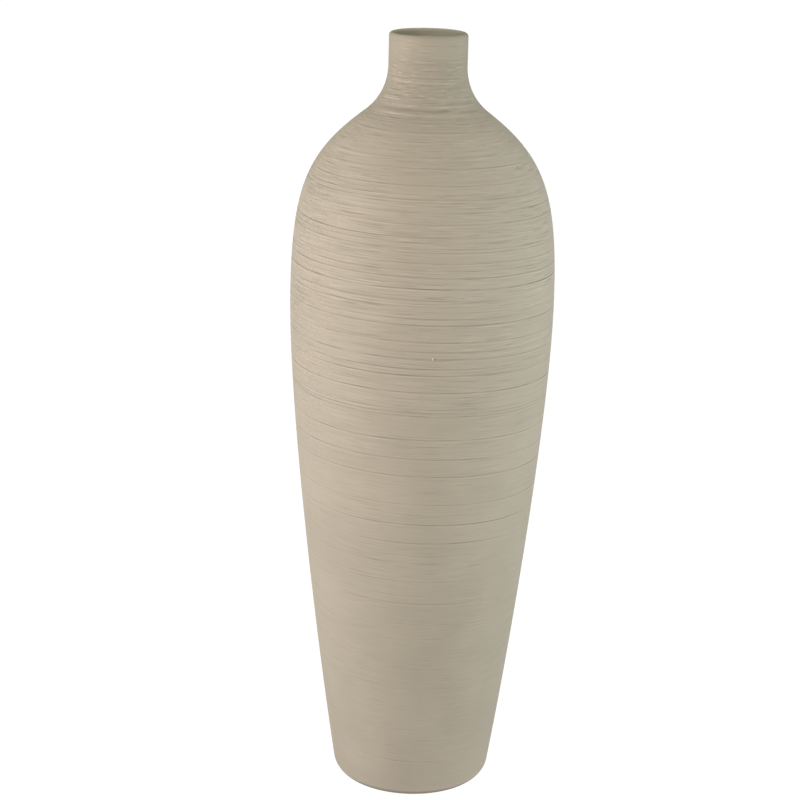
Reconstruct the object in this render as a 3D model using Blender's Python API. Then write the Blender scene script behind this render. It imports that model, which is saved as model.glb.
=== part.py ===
"""A tall bottle vase in combed stoneware, 600 mm high, in metres with +Z up.

The vase stands on the XY plane with its axis on Z. It is built as a potter builds a
form that is too tall to throw in one go: a lower body with the floor, an upper body
that closes in over the shoulder, and a neck with its lip. The three sections are
luted together at lapped seams, one coat of glaze lines the inside from the floor to
just under the lip, and felt pads are stuck to the flat of the base.
"""

import math
from bisect import bisect

import bmesh
import bpy
from mathutils import Vector
from mathutils.geometry import interpolate_bezier

# Heights of the outer form, stacked from the underside of the base to the top of the lip.
BELLY_ABOVE_BASE = 0.3935
SHOULDER_RISE = 0.1446
NECK_FLARE_RISE = 0.0357
NECK_LENGTH = 0.0244

# Widths and slopes of the outer form.
FOOT_RADIUS = 0.0480
LOWER_WALL_LEAN = math.radians(9.0)
BELLY_RADIUS = 0.1017
SHOULDER_SLOPE = math.radians(37.5)
NECK_FLARE_WIDTH = 0.0177
NECK_RADIUS = 0.0298

# How far each curve holds its end directions, as shares of the straight line between its ends.
LOWER_WALL_PULLS = (0.252, 0.235)
SHOULDER_PULLS = (0.558, 0.351)
NECK_FLARE_PULLS = (0.410, 0.313)

# Thickness of the clay, measured square to the surface.
FLOOR_THICKNESS = 0.0060
FLOOR_CORNER_RADIUS = 0.0065
BELLY_WALL = 0.0062
NECK_ROOT_WALL = 0.0056
LIP_OUTER_ROUNDING = 0.0026
LIP_INNER_ROUNDING = 0.0016

# Shallow hollow under the middle of the base.
BASE_HOLLOW_DEPTH = 0.0020
BASE_HOLLOW_EDGE = 0.0040

# Lapped seams between the sections.
BODY_SEAM_BELOW_BELLY = 0.0500
BODY_SEAM_LAP = 0.0070
NECK_SEAM_LAP = 0.0060
SLIP_GAP = 0.0003

# Glaze coat on the inside.
GLAZE_THICKNESS = 0.0005
GLAZE_GAP = 0.0003
GLAZE_STOP_BELOW_LIP = 0.0035

# Felt pads on the flat of the base.
PAD_COUNT = 4
PAD_RADIUS = 0.0080
PAD_THICKNESS = 0.0015
PAD_EDGE_MARGIN = 0.0015
PAD_GLUE_GAP = 0.0003

# Facets.
TURN_STEPS = 48
BASE_ROUNDING_STEPS = 4
LOWER_WALL_STEPS = 10
SHOULDER_STEPS = 12
NECK_FLARE_STEPS = 6
LIP_STEPS = 3
PAD_SIDES = 24
SHORTEST_FACET = 0.0005
MERGE_DISTANCE = 0.00001
SHARP_ANGLE = math.radians(35.0)

# Sizes that follow from the ones above.
BASE_HEIGHT = PAD_THICKNESS + PAD_GLUE_GAP
BELLY_HEIGHT = BASE_HEIGHT + BELLY_ABOVE_BASE
NECK_ROOT_HEIGHT = BELLY_HEIGHT + SHOULDER_RISE
NECK_HEIGHT = NECK_ROOT_HEIGHT + NECK_FLARE_RISE
OVERALL_HEIGHT = NECK_HEIGHT + NECK_LENGTH
NECK_ROOT_RADIUS = NECK_RADIUS + NECK_FLARE_WIDTH
FOOT_THICKNESS = FLOOR_THICKNESS + BASE_HOLLOW_DEPTH
BASE_ROUNDING = FOOT_THICKNESS + FLOOR_CORNER_RADIUS
LIP_WALL = LIP_OUTER_ROUNDING + LIP_INNER_ROUNDING
PAD_CIRCLE_RADIUS = FOOT_RADIUS - PAD_EDGE_MARGIN - PAD_RADIUS
BASE_HOLLOW_RADIUS = PAD_CIRCLE_RADIUS - PAD_RADIUS - PAD_EDGE_MARGIN

UP = Vector((0.0, 1.0))


def clear_scene():
    for old in list(bpy.data.objects):
        bpy.data.objects.remove(old, do_unlink=True)


def plain_material(name, colour, roughness):
    """A non-metallic material with one colour and one roughness."""
    material = bpy.data.materials.new(name)
    material.use_nodes = True
    shader = material.node_tree.nodes["Principled BSDF"]
    shader.inputs["Base Color"].default_value = (*colour, 1.0)
    shader.inputs["Roughness"].default_value = roughness
    shader.inputs["Metallic"].default_value = 0.0
    material.diffuse_color = (*colour, 1.0)
    return material


def curve_between(start, leaving, end, arriving, pulls, steps):
    """Points after the start of a smooth curve that leaves and arrives in the given directions."""
    reach = (end - start).length
    first_handle = start + leaving * (reach * pulls[0])
    last_handle = end - arriving * (reach * pulls[1])
    return interpolate_bezier(start, first_handle, last_handle, end, steps + 1)[1:]


def running_lengths(points):
    """The distance along a line of points to each of them."""
    gone = [0.0]
    for before, after in zip(points, points[1:]):
        gone.append(gone[-1] + (after - before).length)
    return gone


def place_on(points, gone, distance):
    """The point at a distance along a line whose running lengths are given."""
    index = min(bisect(gone, distance), len(points) - 1)
    share = (distance - gone[index - 1]) / (gone[index] - gone[index - 1])
    return points[index - 1].lerp(points[index], share)


class OuterLine:
    """The outer line of the vase, from the middle of its base to where its lip turns over.

    Each point is (radius, height), with the thickness of the wall behind it. Places on
    the line are told by the distance along it, so that seams and the glaze are cut to it.
    """

    def __init__(self):
        self.points = []
        self.walls = []
        self.add_base()
        self.add_lower_wall()
        self.belly = running_lengths(self.points)[-1]
        self.add_shoulder()
        self.neck_root = running_lengths(self.points)[-1]
        self.add_neck()
        self.gone = running_lengths(self.points)
        self.end = self.gone[-1]

    def add(self, points, wall_at_end):
        """Adds a stretch over which the wall changes evenly to the thickness at its end."""
        gone = running_lengths(self.points[-1:] + points)[-len(points):]
        wall_at_start = self.walls[-1] if self.walls else wall_at_end
        self.points += points
        self.walls += [
            wall_at_start + (wall_at_end - wall_at_start) * distance / gone[-1] for distance in gone
        ]

    def add_base(self):
        middle = Vector((0.0, BASE_HEIGHT))
        corner = Vector((FOOT_RADIUS, BASE_HEIGHT))
        self.add([middle, corner], FOOT_THICKNESS)
        sweep = math.pi / 2 - LOWER_WALL_LEAN
        rounding = []
        for step in range(1, BASE_ROUNDING_STEPS + 1):
            turn = sweep * step / BASE_ROUNDING_STEPS
            across = BASE_ROUNDING * math.sin(turn)
            rise = BASE_ROUNDING * (1.0 - math.cos(turn))
            rounding.append(corner + Vector((across, rise)))
        self.add(rounding, FOOT_THICKNESS)

    def add_lower_wall(self):
        leaning = Vector((math.sin(LOWER_WALL_LEAN), math.cos(LOWER_WALL_LEAN)))
        belly = Vector((BELLY_RADIUS, BELLY_HEIGHT))
        wall = curve_between(self.points[-1], leaning, belly, UP, LOWER_WALL_PULLS, LOWER_WALL_STEPS)
        self.add(wall, BELLY_WALL)

    def add_shoulder(self):
        closing = Vector((-math.cos(SHOULDER_SLOPE), math.sin(SHOULDER_SLOPE)))
        root = Vector((NECK_ROOT_RADIUS, NECK_ROOT_HEIGHT))
        shoulder = curve_between(self.points[-1], UP, root, closing, SHOULDER_PULLS, SHOULDER_STEPS)
        self.add(shoulder, NECK_ROOT_WALL)

    def add_neck(self):
        closing = Vector((-math.cos(SHOULDER_SLOPE), math.sin(SHOULDER_SLOPE)))
        neck = Vector((NECK_RADIUS, NECK_HEIGHT))
        flare = curve_between(self.points[-1], closing, neck, UP, NECK_FLARE_PULLS, NECK_FLARE_STEPS)
        self.add(flare, LIP_WALL)
        self.add([Vector((NECK_RADIUS, OVERALL_HEIGHT - LIP_OUTER_ROUNDING))], LIP_WALL)

    def outward(self, index):
        """The direction square to the line at one of its points, out of the clay."""
        along = Vector((0.0, 0.0))
        if index > 0:
            along += (self.points[index] - self.points[index - 1]).normalized()
        if index < len(self.points) - 1:
            along += (self.points[index + 1] - self.points[index]).normalized()
        along.normalize()
        return Vector((along.y, -along.x))

    def inset_points(self, share, depth):
        """The line's points moved into the clay, by a share of the wall and a depth past that."""
        moved = []
        for index, point in enumerate(self.points):
            inset = point - self.outward(index) * (self.walls[index] * share + depth)
            moved.append(Vector((max(inset.x, 0.0), inset.y)))
        return moved

    def stretch(self, start, end, share=0.0, depth=0.0):
        """The part of the line, or of a line inset from it, between two distances along it."""
        moved = self.inset_points(share, depth)
        between = [
            point
            for point, distance in zip(moved, self.gone)
            if start + SHORTEST_FACET < distance < end - SHORTEST_FACET
        ]
        return [place_on(moved, self.gone, start), *between, place_on(moved, self.gone, end)]


class LappedSeam:
    """A seam whose outer half of the wall parts at one place on the line and inner half at another."""

    def __init__(self, line, outer, inner):
        self.line = line
        self.outer = outer
        self.inner = inner

    def outer_end(self, is_below):
        """Where the outside of a section stops, the one below the seam being the shorter by the gap."""
        return self.outer - SLIP_GAP if is_below else self.outer

    def inner_end(self, is_below):
        return self.inner - SLIP_GAP if is_below else self.inner

    def lap_face(self, is_below):
        """The face along the middle of the wall, from the outer end of a section to its inner end."""
        tongue_is_below = self.inner > self.outer
        has_inner_half = is_below == tongue_is_below
        set_back = SLIP_GAP / 2 if has_inner_half else -SLIP_GAP / 2
        start, end = sorted((self.outer_end(is_below), self.inner_end(is_below)))
        face = self.line.stretch(start, end, share=0.5, depth=set_back)
        return face if tongue_is_below else face[::-1]


def linked_object(name, mesh, material):
    mesh.materials.append(material)
    mesh.shade_smooth()
    mesh.set_sharp_from_angle(angle=SHARP_ANGLE)
    made = bpy.data.objects.new(name, mesh)
    bpy.context.scene.collection.objects.link(made)
    return made


def turned_object(name, outline, material):
    """Turns an outline of (radius, height) points round the axis into one smooth closed solid."""
    mesh = bpy.data.meshes.new(name)
    shape = bmesh.new()
    corners = [shape.verts.new((point.x, 0.0, point.y)) for point in outline]
    edges = [shape.edges.new(pair) for pair in zip(corners, corners[1:])]
    starts_and_ends_on_axis = outline[0].x == 0.0 and outline[-1].x == 0.0
    if not starts_and_ends_on_axis:
        edges.append(shape.edges.new((corners[-1], corners[0])))
    bmesh.ops.spin(
        shape,
        geom=corners + edges,
        axis=(0.0, 0.0, 1.0),
        cent=(0.0, 0.0, 0.0),
        angle=2.0 * math.pi,
        steps=TURN_STEPS,
        use_merge=True,
    )
    bmesh.ops.remove_doubles(shape, verts=shape.verts, dist=MERGE_DISTANCE)
    bmesh.ops.recalc_face_normals(shape, faces=shape.faces)
    shape.to_mesh(mesh)
    shape.free()
    return linked_object(name, mesh, material)


def add_lower_body(line, seam, material):
    """The bottom section: hollow base, floor, rounded foot and the leaning wall up to the seam."""
    hollow_roof = BASE_HEIGHT + BASE_HOLLOW_DEPTH
    underside = [
        Vector((0.0, hollow_roof)),
        Vector((BASE_HOLLOW_RADIUS - BASE_HOLLOW_EDGE, hollow_roof)),
        Vector((BASE_HOLLOW_RADIUS, BASE_HEIGHT)),
    ]
    outside = line.stretch(FOOT_RADIUS, seam.outer_end(is_below=True))
    inside = line.stretch(0.0, seam.inner_end(is_below=True), share=1.0)
    outline = underside + outside + seam.lap_face(is_below=True) + inside[::-1]
    turned_object("lower_body", outline, material)


def add_upper_body(line, body_seam, neck_seam, material):
    """The middle section, from the body seam over the belly and the shoulder to the neck's root."""
    outside = line.stretch(body_seam.outer_end(is_below=False), neck_seam.outer_end(is_below=True))
    inside = line.stretch(
        body_seam.inner_end(is_below=False), neck_seam.inner_end(is_below=True), share=1.0
    )
    top_face = neck_seam.lap_face(is_below=True)
    bottom_face = body_seam.lap_face(is_below=False)
    turned_object("upper_body", outside + top_face + inside[::-1] + bottom_face[::-1], material)


def lip_points():
    """The lip's full rounding, from the outside of the neck over to its bore."""
    crest_radius = NECK_RADIUS - LIP_OUTER_ROUNDING
    points = []
    for step in range(1, 2 * LIP_STEPS):
        turn = math.pi / 2 * step / LIP_STEPS
        across = LIP_OUTER_ROUNDING if step <= LIP_STEPS else LIP_INNER_ROUNDING
        drop = LIP_OUTER_ROUNDING * (1.0 - math.sin(turn))
        points.append(Vector((crest_radius + across * math.cos(turn), OVERALL_HEIGHT - drop)))
    return points


def add_neck(line, seam, material):
    """The top section: a flare that sits in the shoulder's rebate, the neck and its rounded lip."""
    outside = line.stretch(seam.outer_end(is_below=False), line.end)
    inside = line.stretch(seam.inner_end(is_below=False), line.end, share=1.0)
    bottom_face = seam.lap_face(is_below=False)
    turned_object("neck", outside + lip_points() + inside[::-1] + bottom_face[::-1], material)


def add_inner_glaze(line, material):
    """The coat of glaze that keeps water in, one skin over the inside of all three sections."""
    stop = line.end - GLAZE_STOP_BELOW_LIP
    against_clay = line.stretch(0.0, stop, share=1.0, depth=GLAZE_GAP)
    open_face = line.stretch(0.0, stop, share=1.0, depth=GLAZE_GAP + GLAZE_THICKNESS)
    turned_object("inner_glaze", against_clay + open_face[::-1], material)


def add_felt_pad(index, material):
    """One die-cut disc on the flat of the base, set between two of the row's axes."""
    name = f"felt_pad_{index + 1}"
    mesh = bpy.data.meshes.new(name)
    shape = bmesh.new()
    bmesh.ops.create_cone(
        shape,
        cap_ends=True,
        segments=PAD_SIDES,
        radius1=PAD_RADIUS,
        radius2=PAD_RADIUS,
        depth=PAD_THICKNESS,
    )
    shape.to_mesh(mesh)
    shape.free()
    pad = linked_object(name, mesh, material)
    turn = 2.0 * math.pi * (index + 0.5) / PAD_COUNT
    across = PAD_CIRCLE_RADIUS * math.cos(turn)
    along = PAD_CIRCLE_RADIUS * math.sin(turn)
    pad.location = (across, along, PAD_THICKNESS / 2)


def build():
    clear_scene()
    combed_clay = plain_material("combed_clay", (0.46, 0.40, 0.31), 0.85)
    liner_glaze = plain_material("liner_glaze", (0.43, 0.39, 0.27), 0.35)
    felt = plain_material("felt", (0.06, 0.055, 0.05), 0.95)

    line = OuterLine()
    body_seam_start = line.belly - BODY_SEAM_BELOW_BELLY
    body_seam = LappedSeam(line, outer=body_seam_start, inner=body_seam_start + BODY_SEAM_LAP)
    neck_seam = LappedSeam(line, outer=line.neck_root, inner=line.neck_root - NECK_SEAM_LAP)

    add_lower_body(line, body_seam, combed_clay)
    add_upper_body(line, body_seam, neck_seam, combed_clay)
    add_neck(line, neck_seam, combed_clay)
    add_inner_glaze(line, liner_glaze)
    for index in range(PAD_COUNT):
        add_felt_pad(index, felt)


build()
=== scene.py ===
"""The finished look of the combed stoneware bottle vase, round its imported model.

The three luted sections are thrown again here in fine rows, so that the comb marks are cut
into the clay itself. The glaze coat and the felt discs get their own finished pieces. The
named sizes are the ones that the part's source has.
"""

import math

import bmesh
import bpy
import numpy as np
from mathutils import Matrix


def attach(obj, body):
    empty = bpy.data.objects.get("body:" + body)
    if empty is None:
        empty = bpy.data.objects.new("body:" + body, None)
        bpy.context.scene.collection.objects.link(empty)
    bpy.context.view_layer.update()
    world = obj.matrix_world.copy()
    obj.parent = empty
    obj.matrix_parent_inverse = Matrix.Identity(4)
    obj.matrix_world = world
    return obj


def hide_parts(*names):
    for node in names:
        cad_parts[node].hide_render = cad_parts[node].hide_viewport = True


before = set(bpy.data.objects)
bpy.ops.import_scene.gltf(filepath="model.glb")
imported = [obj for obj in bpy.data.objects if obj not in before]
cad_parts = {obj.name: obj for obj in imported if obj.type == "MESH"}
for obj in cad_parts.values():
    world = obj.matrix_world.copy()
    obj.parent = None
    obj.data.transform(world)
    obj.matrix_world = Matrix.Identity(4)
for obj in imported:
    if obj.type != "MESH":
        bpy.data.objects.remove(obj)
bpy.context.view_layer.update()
bpy.ops.object.select_all(action="DESELECT")

# Heights and widths of the outer form, from the underside of the base to the top of the lip. A
# curve's pulls say how far it keeps to the directions in which it leaves and arrives.
BELLY_ABOVE_BASE = 0.3935
SHOULDER_RISE = 0.1446
NECK_FLARE_RISE = 0.0357
NECK_LENGTH = 0.0244
FOOT_RADIUS = 0.0480
LOWER_WALL_LEAN = math.radians(9.0)
BELLY_RADIUS = 0.1017
SHOULDER_SLOPE = math.radians(37.5)
NECK_FLARE_WIDTH = 0.0177
NECK_RADIUS = 0.0298
LOWER_WALL_PULLS = (0.252, 0.235)
SHOULDER_PULLS = (0.558, 0.351)
NECK_FLARE_PULLS = (0.410, 0.313)

# Thickness of the clay, its seams, the glaze and the pads.
FOOT_THICKNESS = 0.0080
BASE_ROUNDING = 0.0145
BELLY_WALL = 0.0062
NECK_ROOT_WALL = 0.0056
LIP_OUTER_ROUNDING = 0.0026
LIP_INNER_ROUNDING = 0.0016
LIP_WALL = LIP_OUTER_ROUNDING + LIP_INNER_ROUNDING
BASE_HOLLOW_RADIUS = 0.0290
BASE_HOLLOW_DEPTH = 0.0020
BASE_HOLLOW_EDGE = 0.0040
BODY_SEAM_BELOW_BELLY = 0.0500
BODY_SEAM_LAP = 0.0070
NECK_SEAM_LAP = 0.0060
SLIP_GAP = 0.0003
GLAZE_THICKNESS = 0.0005
GLAZE_GAP = 0.0003
GLAZE_STOP_BELOW_LIP = 0.0035
FINGER_RING_HEIGHT = 0.00012
FINGER_RING_STEP = 0.0085
PAD_RADIUS = 0.0080
PAD_THICKNESS = 0.0015
PAD_CIRCLE_RADIUS = 0.0385
PAD_COUNT = 4
FELT_SOFT_EDGE = 0.00022
FELT_INSETS = (0.00035, 0.0015, 0.0015, 0.0015, 0.0015)

BASE_HEIGHT = 0.0018
BELLY_HEIGHT = BASE_HEIGHT + BELLY_ABOVE_BASE
NECK_ROOT_HEIGHT = BELLY_HEIGHT + SHOULDER_RISE
NECK_HEIGHT = NECK_ROOT_HEIGHT + NECK_FLARE_RISE
OVERALL_HEIGHT = NECK_HEIGHT + NECK_LENGTH
NECK_ROOT_RADIUS = NECK_RADIUS + NECK_FLARE_WIDTH

# How finely the sections are turned: steps round them, the bands that are then cut into rows on
# the outside, and the steps along each other stretch.
FULL_TURN = 2.0 * math.pi
TURN_STEPS = 96
BAND_HEIGHT = 0.0075
ROWS_IN_BAND = 20
INSIDE_STEP = 0.020
INSIDE_CORNER_STEP = 0.0030
FLOOR_STEP = 0.0100
BORE_STEP = 0.0060
BODY_SEAM_STEP = 0.0035
NECK_SEAM_STEP = 0.0030
GLAZE_BACK_STEP = 0.0080
GLAZE_FACE_STEP = 0.0020

# What counts as the same height, and how near the rings an edge or a row of the outside lies.
SAME_HEIGHT = 1e-6
EDGE_NEAR_RINGS = 0.0002
ROW_NEAR_RINGS = 0.0003

# A mark of the comb: its depth at full strength, the strength beyond which the clay gives way no
# further, its width above and below its middle, how far it wanders up and down, how far from its
# middle it is felt, and how much two marks add up where they meet.
MARK_DEPTH = 0.00015
STRONGEST_CUT = 0.7
MARK_ABOVE = 0.00024
MARK_BELOW = 0.00036
MARK_WANDER = 0.00020
MARK_REACH = 0.0030
MEETING_SHARE = 0.35
# How it fades out: over this share of half its arc, and over no more than this angle. How hard the
# comb presses on the average, and the angle at which a mark has its strengths at the sides.
FADE_SHARE = 0.35
LONGEST_FADE = 0.5
MEAN_PRESS = 0.55
SIDE_ANGLE = 1.1
# The burrs beside a mark: share of its strength, height over its middle, and width.
BURRS = ((0.14, 0.0011, 0.00030), (0.30, -0.0017, 0.00026))
RAISED_LINE_WIDTH = 0.00026

# The map of the wall that the marks are cut into: height of its rows along the wall, columns
# round it, and the seed of all that is left to chance.
MAP_STEP = 0.00020
MAP_COLUMNS = 720
COMB_SEED = 41
FELT_SEED = 7

# Where the comb bit deepest: height in front, with its strength to the left, in front and to the
# right.
STRONG_MARKS = (
    (0.4992, 0.8, 0.4, 0.2), (0.4928, 0.7, 0.4, 0.1), (0.4896, 0.9, 0.4, 0.2),
    (0.4876, 0.2, 0.4, 0.2), (0.4808, 0.5, 0.5, 0.2), (0.4728, 0.3, 0.6, 1.0),
    (0.4632, 1.2, 0.5, 0.1), (0.4596, 0.5, 0.4, 0.1), (0.4552, 0.9, 0.6, 0.5),
    (0.4528, 0.5, 0.5, 0.4), (0.4448, 0.4, 0.6, 0.4), (0.4396, 0.7, 0.4, 0.4),
    (0.4344, 0.8, 0.7, 0.9), (0.4260, 1.3, 1.2, 1.4), (0.4176, 0.6, 0.4, 0.0),
    (0.4128, 0.6, 0.6, 0.2), (0.4040, 0.1, 0.8, 0.2), (0.3992, 0.9, 1.0, 0.9),
    (0.3864, 0.5, 0.9, 0.6), (0.3792, 0.2, 0.6, 0.1), (0.3736, 0.7, 0.7, 0.6),
    (0.3660, 0.2, 1.0, 0.0), (0.3608, 0.6, 0.9, 0.8), (0.3476, 1.3, 0.9, 1.1),
    (0.3344, 0.6, 0.6, 0.3), (0.3316, 0.9, 0.4, 0.4), (0.3292, 0.6, 0.5, 0.4),
    (0.3104, 0.9, 0.9, 0.9), (0.3052, 0.2, 0.4, 0.0), (0.2952, 1.3, 0.7, 0.9),
    (0.2812, 0.5, 0.6, 0.9), (0.2584, 0.4, 0.4, 0.6), (0.2500, 0.0, 0.3, 0.0),
    (0.2420, 0.4, 0.8, 0.7), (0.2268, 0.1, 0.7, 0.4), (0.2160, 0.0, 0.4, 0.0),
    (0.2100, 0.1, 0.5, 0.1), (0.1944, 0.4, 0.4, 0.1), (0.1828, 0.0, 0.3, 0.0),
    (0.1760, 0.0, 0.7, 0.0),
)
# How much stronger than in the list they are in front and behind, how wide, in how many steps the
# pressure changes round the vase, and by how much.
STRONG_IN_FRONT = 1.65
STRONG_BEHIND = 1.3
STRONG_WIDTH_IN_FRONT = 0.75
STRONG_WIDTH_BEHIND = 0.7
STRONG_KNOTS = 24
STRONG_CHANGE = 1.1

# Short touches low on the wall: height in the middle of the touch, its first and last angle in
# degrees round from the front, and its strength. The last four are at the back.
LOW_TOUCHES = (
    (0.1580, -12, 22, 0.25), (0.1450, -15, -4, 0.40), (0.1450, 6, 17, 0.40),
    (0.1380, -30, -22, 0.25), (0.1200, -14, -8, 0.50), (0.1194, -3, 5, 0.70), (0.1190, 9, 18, 0.60),
    (0.1150, -34, -29, 0.25), (0.1085, -40, -35, 0.35), (0.1070, -9, -1, 0.45),
    (0.1060, 27, 36, 0.30), (0.1020, 12, 18, 0.35), (0.0752, 12, 17, 0.35), (0.0740, 24, 35, 0.30),
    (0.0692, -19, -15, 0.35), (0.0652, -9, 2, 0.45), (0.0552, 4, 12, 0.45), (0.0545, 14, 26, 0.40),
    (0.0512, -30, -25, 0.40), (0.0505, -17, -12, 0.45), (0.0480, 30, 36, 0.35),
    (0.0432, -16, -8, 0.40), (0.0385, -38, -30, 0.45), (0.0372, -22, -13, 0.55),
    (0.0364, -12, 1, 0.80), (0.0360, 4, 18, 0.60), (0.0300, -5, -1, 0.35), (0.0298, 27, 34, 0.35),
    (0.1300, 150, 176, 0.50), (0.0840, 128, 150, 0.45), (0.0620, 170, 195, 0.50),
    (0.0400, 215, 240, 0.55),
)

# Touches on the neck and round its root, in the same terms. The broad ones have a width as well.
NECK_TOUCHES = (
    (0.5953, -48, -36, 0.35), (0.5950, -30, -22, 0.50), (0.5943, 31, 36, 0.30),
    (0.5930, -12, -7, 0.40), (0.5929, 0, 12, 0.50), (0.5925, 28, 42, 0.60),
    (0.5918, -36, -30, 0.35), (0.5877, -11, 2, 0.55), (0.5820, -6, 7, 0.35),
    (0.5808, -57, -38, 0.45), (0.5804, -35, -24, 0.35), (0.5795, -19, 12, 0.45),
    (0.5784, -30, -24, 0.55), (0.5784, 44, 64, 0.45), (0.5778, -18, -14, 0.35),
    (0.5756, -24, -14, 0.50), (0.5754, -66, -52, 0.70), (0.5745, 43, 57, 0.45),
    (0.5745, -7, 15, 0.50), (0.5740, -46, -41, 0.50), (0.5689, -66, -27, 0.65),
    (0.5689, -24, 57, 0.65), (0.5643, -48, -33, 0.90), (0.5641, 18, 31, 0.50),
    (0.5639, -10, 10, 0.50), (0.5621, -26, -16, 0.40), (0.5619, 11, 20, 0.45),
    (0.5598, -60, -39, 0.75), (0.5585, -28, -19, 0.65), (0.5585, 45, 52, 0.40),
    (0.5560, 10, 25, 0.55), (0.5559, -66, -30, 0.95), (0.5556, -18, -2, 0.75),
    (0.5555, 33, 38, 0.55), (0.5548, 56, 66, 0.40), (0.5522, -66, -56, 1.10), (0.5517, -6, 9, 0.70),
    (0.5511, 22, 66, 0.55, 1.4), (0.5474, 13, 24, 0.80, 1.6), (0.5467, -66, 29, 0.60, 2.4),
    (0.5451, 36, 66, 0.45, 1.8), (0.5412, -66, -43, 1.10), (0.5412, -40, -24, 0.75),
    (0.5411, -12, 6, 0.50), (0.5409, 9, 24, 0.60), (0.5405, 28, 47, 0.50), (0.5403, 50, 60, 0.50),
    (0.5385, -10, 14, 0.80), (0.5384, -66, -25, 0.70), (0.5380, 58, 66, 0.60),
    (0.5379, 26, 40, 1.10), (0.5378, 46, 54, 0.45), (0.5333, -66, -26, 0.90),
    (0.5329, -16, 36, 1.00), (0.5323, 40, 55, 0.45), (0.5319, 56, 66, 0.45),
    (0.5310, -51, -46, 0.50), (0.5275, 5, 26, 0.50), (0.5273, -46, -36, 0.55),
    (0.5272, -12, 2, 0.75), (0.5269, 36, 49, 0.50), (0.5245, -26, -20, 0.35),
    (0.5216, -19, -14, 0.50), (0.5214, -2, 8, 0.40), (0.5211, 25, 32, 0.45),
    (0.5178, -66, -10, 0.60), (0.5177, -1, 8, 0.50), (0.5174, 14, 46, 0.60, 1.2),
    (0.5165, 52, 64, 0.60), (0.5147, -60, -45, 0.70), (0.5146, -16, -2, 0.50),
    (0.5143, 10, 36, 0.55), (0.5107, -61, -20, 0.70), (0.5106, -18, 19, 0.60),
    (0.5099, 20, 66, 0.90), (0.5074, -42, -36, 0.60), (0.5069, -66, -58, 0.70),
    (0.5067, -11, 0, 0.50), (0.5063, 58, 66, 0.30),
)

# Lines of clay that the comb pushed up between its teeth on the neck, in the same terms.
RAISED_LINES = (
    (0.5960, -32, -24, 0.35), (0.5904, -37, -30, 0.30), (0.5893, -12, 1, 0.30),
    (0.5845, 0, 28, 0.28), (0.5843, -54, -37, 0.28), (0.5811, -20, 12, 0.28),
    (0.5806, 30, 62, 0.30), (0.5769, -58, -52, 0.80), (0.5762, -6, 15, 0.35),
    (0.5764, 44, 60, 0.30), (0.5722, -47, -42, 0.40), (0.5711, -26, 8, 0.30),
    (0.5660, -66, 50, 0.60), (0.5622, -52, -34, 0.30), (0.5606, 11, 23, 0.40),
    (0.5597, 48, 66, 0.30), (0.5569, -30, -26, 0.55), (0.5538, 13, 30, 0.30),
    (0.5535, -66, -34, 0.65), (0.5533, 36, 65, 0.30), (0.5497, -44, -8, 0.40, 1.8),
    (0.5491, -2, 28, 0.40, 2.0), (0.5487, 34, 52, 0.28, 2.0), (0.5434, -66, 66, 0.38, 3.2),
    (0.5372, -35, -30, 0.50), (0.5370, -12, 6, 0.35), (0.5364, 31, 39, 0.45),
    (0.5320, -66, -24, 0.40), (0.5316, -16, 35, 0.40), (0.5304, 40, 60, 0.30),
    (0.5261, -54, -20, 0.30), (0.5259, -18, 4, 0.25), (0.5200, -66, -54, 0.35),
    (0.5199, -30, -14, 0.35), (0.5194, 27, 50, 0.25), (0.5161, -66, -32, 0.55),
    (0.5159, -15, 6, 0.30), (0.5155, 14, 35, 0.30), (0.5150, 52, 66, 0.50), (0.5121, 28, 48, 0.28),
    (0.5090, -66, -32, 0.50), (0.5088, -12, 12, 0.28), (0.5082, 39, 66, 0.42),
)
# How each list is cut: how much stronger than in the list, the usual width, and whether raised.
TOUCH_LISTS = (
    (LOW_TOUCHES, 1.3, 0.7, False),
    (NECK_TOUCHES, 1.45, 0.75, False),
    (RAISED_LINES, 1.15, 1.0, True),
)
# How unevenly the comb pressed there, and from which height on the touches are repeated behind.
TOUCH_CHANGE = 0.5
REPEATED_BEHIND_OVER = 0.5

# How many times the fine teeth are set on the wall, and the unevenness of their short strokes.
TEETH_SETTINGS = 1800
TEETH_KNOTS = 40

# Small chips: angle round the vase, height and size, then the place of the painted shadow in the
# chip's hollow from the pale clay: by how many degrees to its right, and by how many sizes under
# it. The last is behind.
CHIPS = (
    (5.1, 0.3736, 0.0016, 0.85, 0.05), (16.4, 0.4196, 0.0010, 0.45, 0.45),
    (57.4, 0.5053, 0.0014, 0.30, -1.00), (163.0, 0.2870, 0.0013, 0.45, 0.45),
)


def curve_between(start, leaving, end, arriving, pulls, steps=300):
    """Points after the start of a smooth curve that leaves and arrives in the given directions."""
    start, leaving, end, arriving = map(np.array, (start, leaving, end, arriving))
    reach = np.linalg.norm(end - start)
    first_handle = start + leaving * reach * pulls[0]
    last_handle = end - arriving * reach * pulls[1]
    t = np.linspace(0.0, 1.0, steps + 1)[1:, None]
    u = 1.0 - t
    return u**3 * start + 3 * u * u * t * first_handle + 3 * u * t * t * last_handle + t**3 * end


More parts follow.
